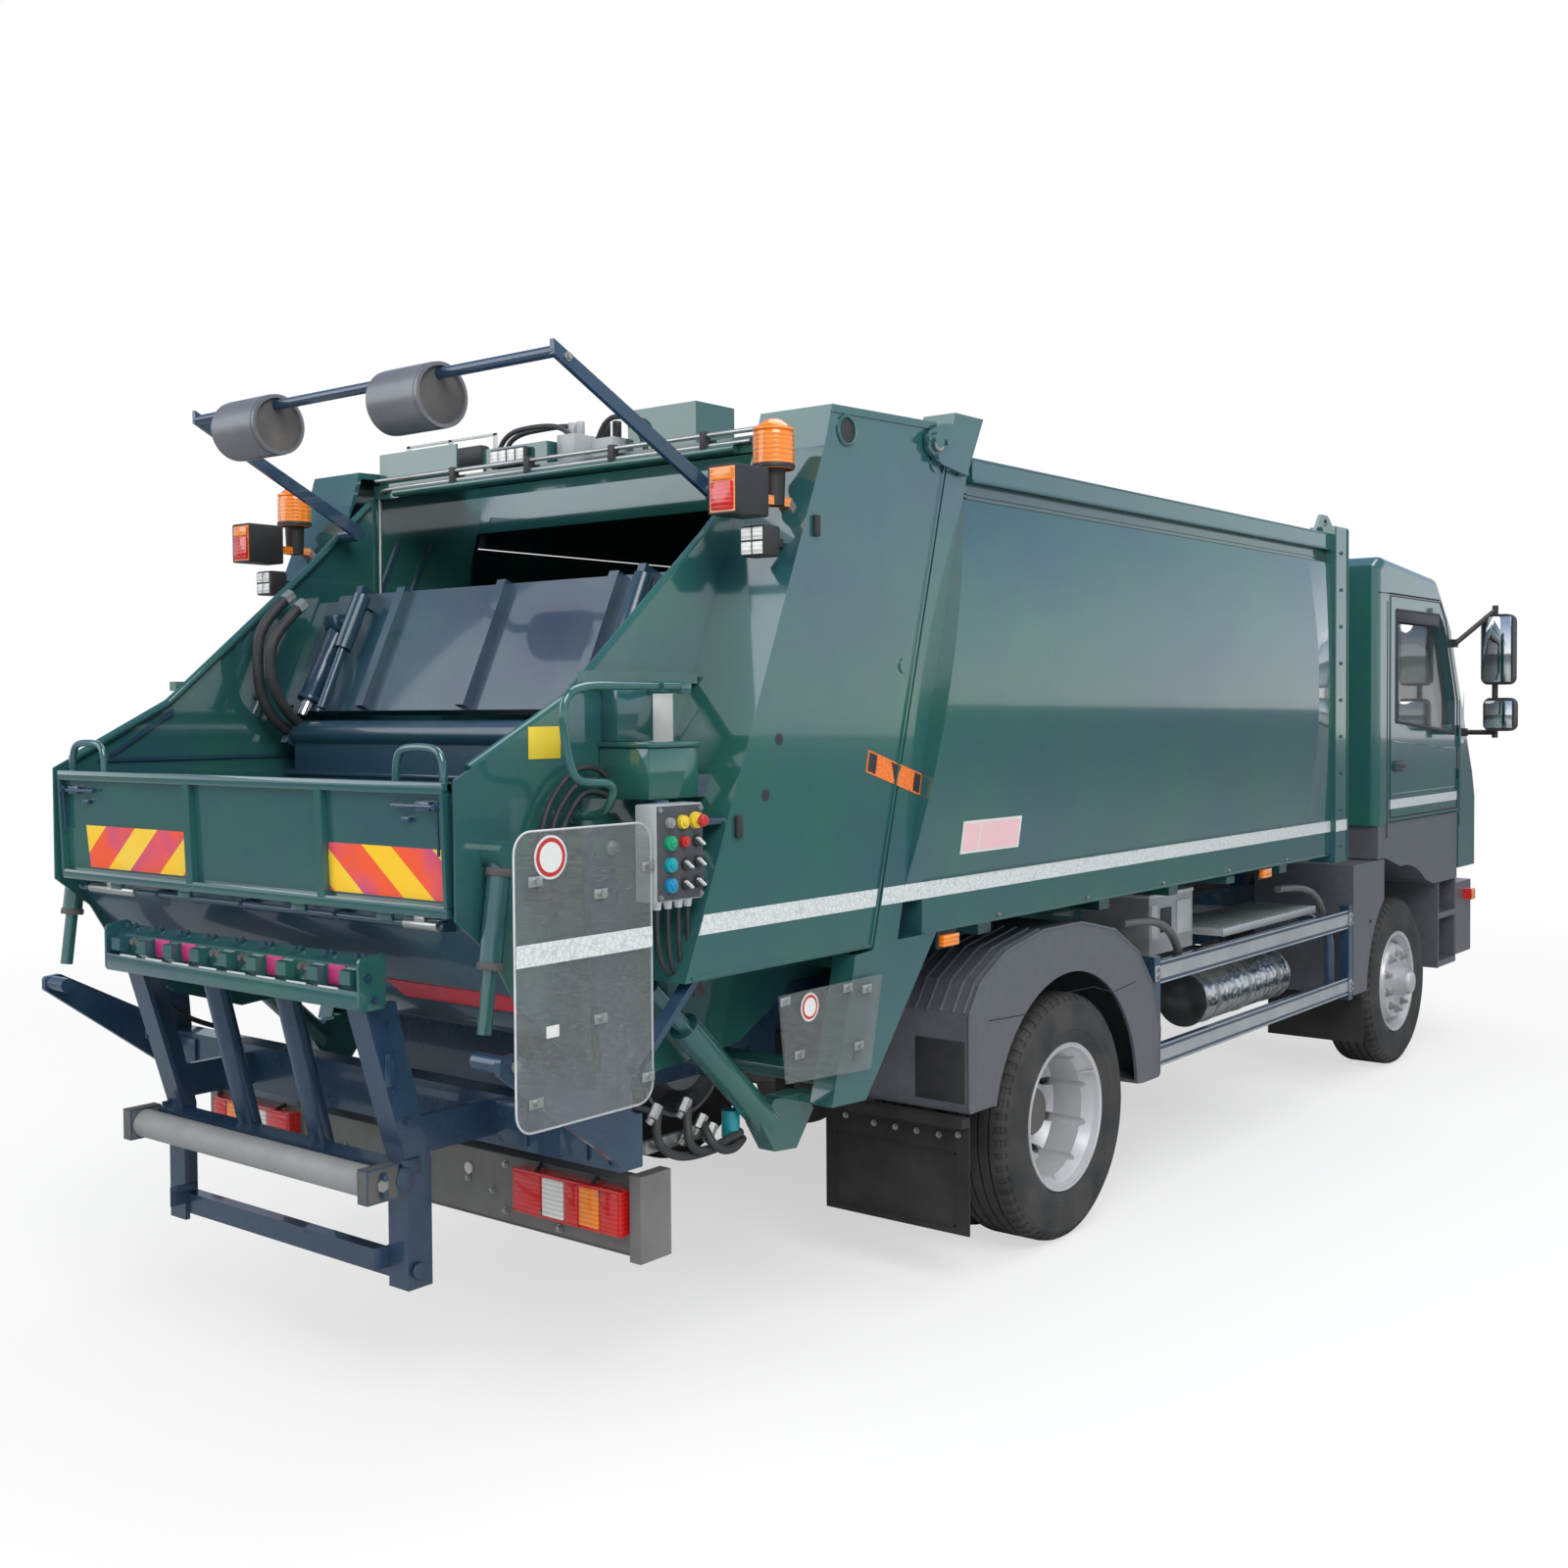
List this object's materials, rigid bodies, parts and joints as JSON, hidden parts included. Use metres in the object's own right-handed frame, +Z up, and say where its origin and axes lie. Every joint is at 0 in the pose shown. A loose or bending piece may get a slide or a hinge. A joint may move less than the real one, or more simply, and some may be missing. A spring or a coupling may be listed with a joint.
{
  "type": "garbage truck",
  "caption": "Two-axle rear-loading refuse truck with a tilting day cab, a closed container, a raising tailgate with packer, a hinged flap and a comb bin lift.",
  "frame": {"origin": "middle of the bounding box on the ground", "axes": "+X towards the cab, +Y to the truck's left, +Z up"},
  "size_m": [7.462, 2.885, 2.86],
  "materials": {
    "body_green": "gloss",
    "frame_blue": "semi-gloss",
    "dark_steel": "satin",
    "silver_rim": "semi-gloss",
    "tyre": "matt",
    "flap_rubber": "matt",
    "grey_plastic": "matt",
    "black_plastic": "matt",
    "cast": "matt",
    "bright_steel": "satin",
    "clear": "gloss",
    "tinted_glass": "gloss",
    "amber": "gloss",
    "lamp_red": "gloss",
    "seat_cloth": "matt",
    "box_grey": "satin"
  },
  "bodies": {
    "chassis": {"chassis_frame": "frame_blue", "engine": "cast", "front_axle": "cast", "rear_axle": "cast", "container_floor": "body_green", "container_sides": "body_green", "container_roof": "body_green", "container_front": "body_green", "rear_frame": "body_green", "side_guards": "frame_blue", "silencer": "bright_steel", "service_deck": "box_grey", "left_tanks": "bright_steel", "mudguards": "grey_plastic", "mud_flaps": "flap_rubber", "steps": "grey_plastic", "bumper": "grey_plastic", "lamps": "lamp_red", "underrun": "dark_steel", "leg_guard": "clear"},
    "cab": {"cab_shell": "body_green", "cab_arches": "grey_plastic", "windscreen": "tinted_glass", "dashboard": "black_plastic", "seats": "seat_cloth", "mirrors": "black_plastic", "grille": "black_plastic"},
    "cab_door_left": {"door_left": "body_green", "door_glass_left": "tinted_glass"},
    "cab_door_right": {"door_right": "body_green", "door_glass_right": "tinted_glass"},
    "steering_left": {"knuckle_left": "cast"},
    "steering_right": {"knuckle_right": "cast"},
    "front_wheel_left": {"front_tyre_left": "tyre", "front_rim_left": "silver_rim"},
    "front_wheel_right": {"front_tyre_right": "tyre", "front_rim_right": "silver_rim"},
    "rear_wheel_left": {"rear_tyres_left": "tyre", "rear_rims_left": "silver_rim"},
    "rear_wheel_right": {"rear_tyres_right": "tyre", "rear_rims_right": "silver_rim"},
    "tailgate": {"hopper_sides": "body_green", "hopper_tub": "body_green", "tailgate_hood": "body_green", "pillars": "body_green", "beacons": "amber", "clear_guard": "clear", "control_box": "box_grey"},
    "hopper_flap": {"flap": "body_green"},
    "bin_lift": {"lift_frame": "frame_blue", "comb": "body_green"},
    "lid_opener": {"lid_bar": "frame_blue"},
    "packer_slide": {"packer_carriage": "frame_blue"},
    "packer_plate": {"packer_blade": "frame_blue"}
  },
  "joints": [
    {"name": "cab_tilt", "type": "hinge", "parent": "chassis", "child": "cab", "pos_m": [3.678, 0, 0.93], "axis": [0, 1, 0], "range_deg": [0, 50]},
    {"name": "cab_door_left_hinge", "type": "hinge", "parent": "cab", "child": "cab_door_left", "pos_m": [3.391, 1.159, 1.8], "axis": [0, 0, -1], "range_deg": [0, 70]},
    {"name": "cab_door_right_hinge", "type": "hinge", "parent": "cab", "child": "cab_door_right", "pos_m": [3.391, -1.159, 1.8], "axis": [0, 0, 1], "range_deg": [0, 70]},
    {"name": "steer_left", "type": "hinge", "parent": "chassis", "child": "steering_left", "pos_m": [2.518, 0.86, 0.4335], "axis": [0, 0, 1], "range_deg": [-40, 40]},
    {"name": "steer_right", "type": "hinge", "parent": "chassis", "child": "steering_right", "pos_m": [2.518, -0.86, 0.4335], "axis": [0, 0, 1], "range_deg": [-40, 40]},
    {"name": "front_wheel_left_spin", "type": "hinge", "parent": "steering_left", "child": "front_wheel_left", "pos_m": [2.518, 0.99, 0.4335], "axis": [0, 1, 0], "continuous": true},
    {"name": "front_wheel_right_spin", "type": "hinge", "parent": "steering_right", "child": "front_wheel_right", "pos_m": [2.518, -0.99, 0.4335], "axis": [0, 1, 0], "continuous": true},
    {"name": "rear_wheel_left_spin", "type": "hinge", "parent": "chassis", "child": "rear_wheel_left", "pos_m": [-1.102, 0.905, 0.4335], "axis": [0, 1, 0], "continuous": true},
    {"name": "rear_wheel_right_spin", "type": "hinge", "parent": "chassis", "child": "rear_wheel_right", "pos_m": [-1.102, -0.905, 0.4335], "axis": [0, 1, 0], "continuous": true},
    {"name": "tailgate_hinge", "type": "hinge", "parent": "chassis", "child": "tailgate", "pos_m": [-1.982, 0, 2.69], "axis": [0, 1, 0], "range_deg": [0, 90]},
    {"name": "flap_hinge", "type": "hinge", "parent": "tailgate", "child": "hopper_flap", "pos_m": [-3.607, 0, 1.343], "axis": [0, -1, 0], "range_deg": [0, 90]},
    {"name": "lift_hinge", "type": "hinge", "parent": "tailgate", "child": "bin_lift", "pos_m": [-3.248, 0, 1.523], "axis": [0, 1, 0], "range_deg": [0, 115]},
    {"name": "lid_opener_hinge", "type": "hinge", "parent": "tailgate", "child": "lid_opener", "pos_m": [-2.574, 0, 2.5], "axis": [0, 1, 0], "range_deg": [-30, 0]},
    {"name": "packer_lift", "type": "slide", "parent": "tailgate", "child": "packer_slide", "axis": [0.42, 0, 0.9075], "range_m": [0, 0.2]},
    {"name": "packer_plate_hinge", "type": "hinge", "parent": "packer_slide", "child": "packer_plate", "pos_m": [-2.822, 0, 1.8], "axis": [0, 1, 0], "range_deg": [0, 55]}
  ],
  "couplings": [
    {"joint": "steer_right", "follows": "steer_left", "ratio": 1}
  ]
}
